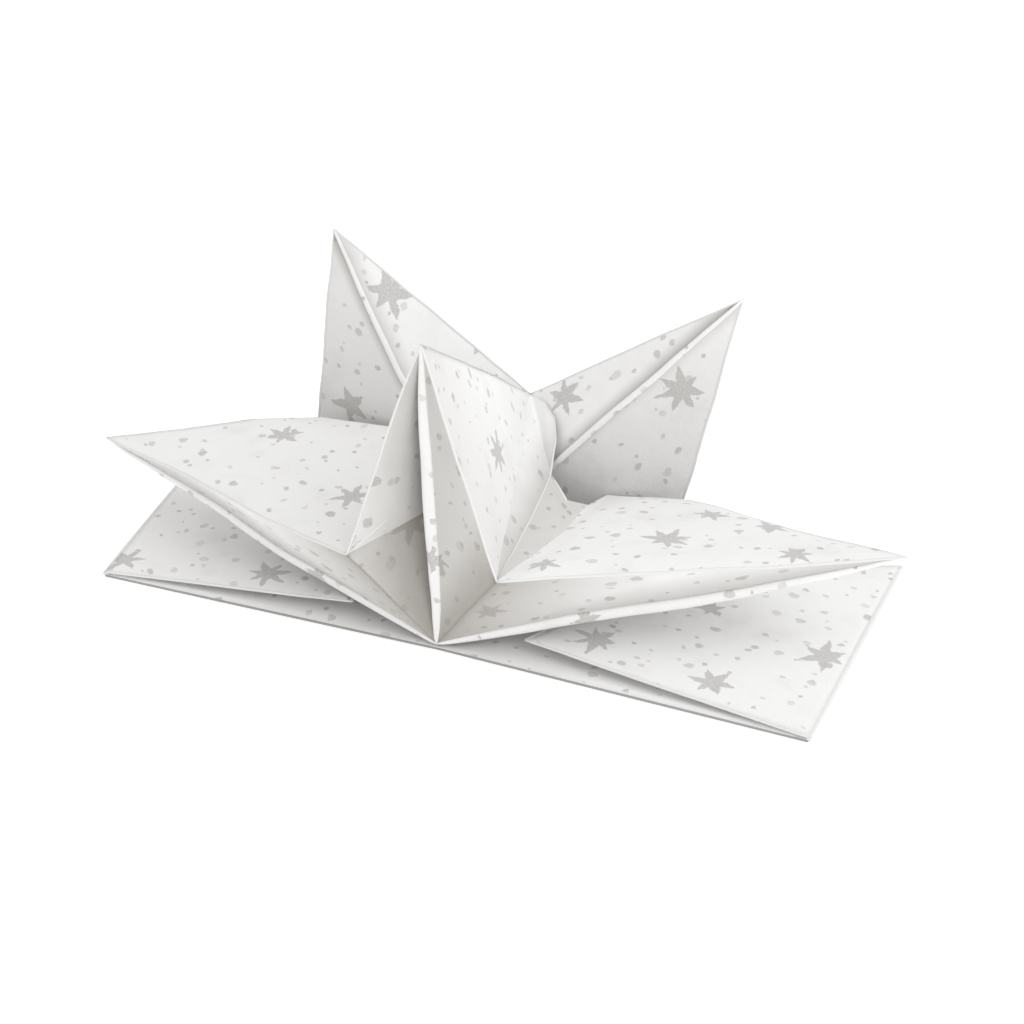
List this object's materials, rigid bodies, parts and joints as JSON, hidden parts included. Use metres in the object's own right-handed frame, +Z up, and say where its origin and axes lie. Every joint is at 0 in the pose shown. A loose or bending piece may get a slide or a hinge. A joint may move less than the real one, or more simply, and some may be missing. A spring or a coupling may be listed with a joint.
{
  "type": "folded paper star napkin",
  "caption": "Printed paper napkin folded into a half-round star of hollow spikes fanned about a spine, standing on flat base panels.",
  "frame": {"origin": "centre of the footprint on the table", "axes": "+X to the right seen from the front, +Y from the front of the spine to its back, +Z up"},
  "size_m": [0.219, 0.0956, 0.0889],
  "materials": {
    "paper_top": "matt tissue printed with silver-grey stars and dots",
    "paper_side": "matt tissue, the faces that lie in shade, same print",
    "paper_fold": "matt rounded fold of several plies"
  },
  "bodies": {
    "base": {"base_panel_left": "paper_top", "base_panel_right": "paper_top", "middle_spike_mouth_right": "paper_side", "middle_spike_mouth_left_upper": "paper_side", "middle_spike_mouth_left_lower": "paper_side", "middle_spike_roof_left": "paper_top", "middle_spike_roof_right": "paper_top", "middle_spike_centre_fold": "paper_fold"},
    "side_spike_left": {"side_spike_roof_left": "paper_top", "side_spike_underside_left": "paper_top", "side_spike_mouth_upper_left": "paper_side", "side_spike_mouth_lower_left": "paper_side", "side_spike_centre_fold_left": "paper_fold", "valley_web_left": "paper_top"},
    "back_spike_left": {"back_spike_inner_face_left": "paper_side", "back_spike_outer_face_left": "paper_side", "back_spike_inner_back_left": "paper_side", "back_spike_outer_back_left": "paper_side", "back_spike_centre_fold_left": "paper_fold", "middle_spike_flap_left": "paper_top"},
    "outer_leaf_left": {"outer_leaf_left": "paper_top"},
    "side_spike_right": {"side_spike_roof_right": "paper_top", "side_spike_underside_right": "paper_top", "side_spike_mouth_upper_right": "paper_side", "side_spike_mouth_lower_right": "paper_side", "side_spike_centre_fold_right": "paper_fold", "valley_web_right": "paper_top"},
    "back_spike_right": {"back_spike_inner_face_right": "paper_side", "back_spike_outer_face_right": "paper_side", "back_spike_inner_back_right": "paper_side", "back_spike_outer_back_right": "paper_side", "back_spike_centre_fold_right": "paper_fold", "middle_spike_flap_right": "paper_top"},
    "outer_leaf_right": {"outer_leaf_right": "paper_top"}
  },
  "joints": [
    {"name": "side_spike_right_spread", "type": "hinge", "parent": "base", "child": "side_spike_right", "pos_m": [0.00016, -0.03607, 0.0022], "axis": [0, 1, 0], "range_deg": [0, 8]},
    {"name": "side_spike_left_spread", "type": "hinge", "parent": "base", "child": "side_spike_left", "pos_m": [0.00016, -0.03607, 0.0022], "axis": [0, -1, 0], "range_deg": [0, 8]},
    {"name": "back_spike_right_spread", "type": "hinge", "parent": "base", "child": "back_spike_right", "pos_m": [0.00016, -0.03607, 0.0022], "axis": [0, 1, 0], "range_deg": [0, 5.6]},
    {"name": "back_spike_left_spread", "type": "hinge", "parent": "base", "child": "back_spike_left", "pos_m": [0.00016, -0.03607, 0.0022], "axis": [0, -1, 0], "range_deg": [0, 5.6]},
    {"name": "outer_leaf_right_press", "type": "hinge", "parent": "base", "child": "outer_leaf_right", "pos_m": [0.10096, -0.04257, 0.00165], "axis": [-0.0502, -0.9987, 0], "range_deg": [0, 2]},
    {"name": "outer_leaf_left_press", "type": "hinge", "parent": "base", "child": "outer_leaf_left", "pos_m": [-0.09994, -0.03417, 0.00165], "axis": [-0.1091, 0.994, 0], "range_deg": [0, 3]}
  ],
  "couplings": [
    {"joint": "side_spike_left_spread", "follows": "side_spike_right_spread", "ratio": 1},
    {"joint": "back_spike_right_spread", "follows": "side_spike_right_spread", "ratio": 0.7},
    {"joint": "back_spike_left_spread", "follows": "side_spike_right_spread", "ratio": 0.7},
    {"joint": "outer_leaf_right_press", "follows": "side_spike_right_spread", "ratio": 0.25},
    {"joint": "outer_leaf_left_press", "follows": "side_spike_right_spread", "ratio": 0.375}
  ]
}
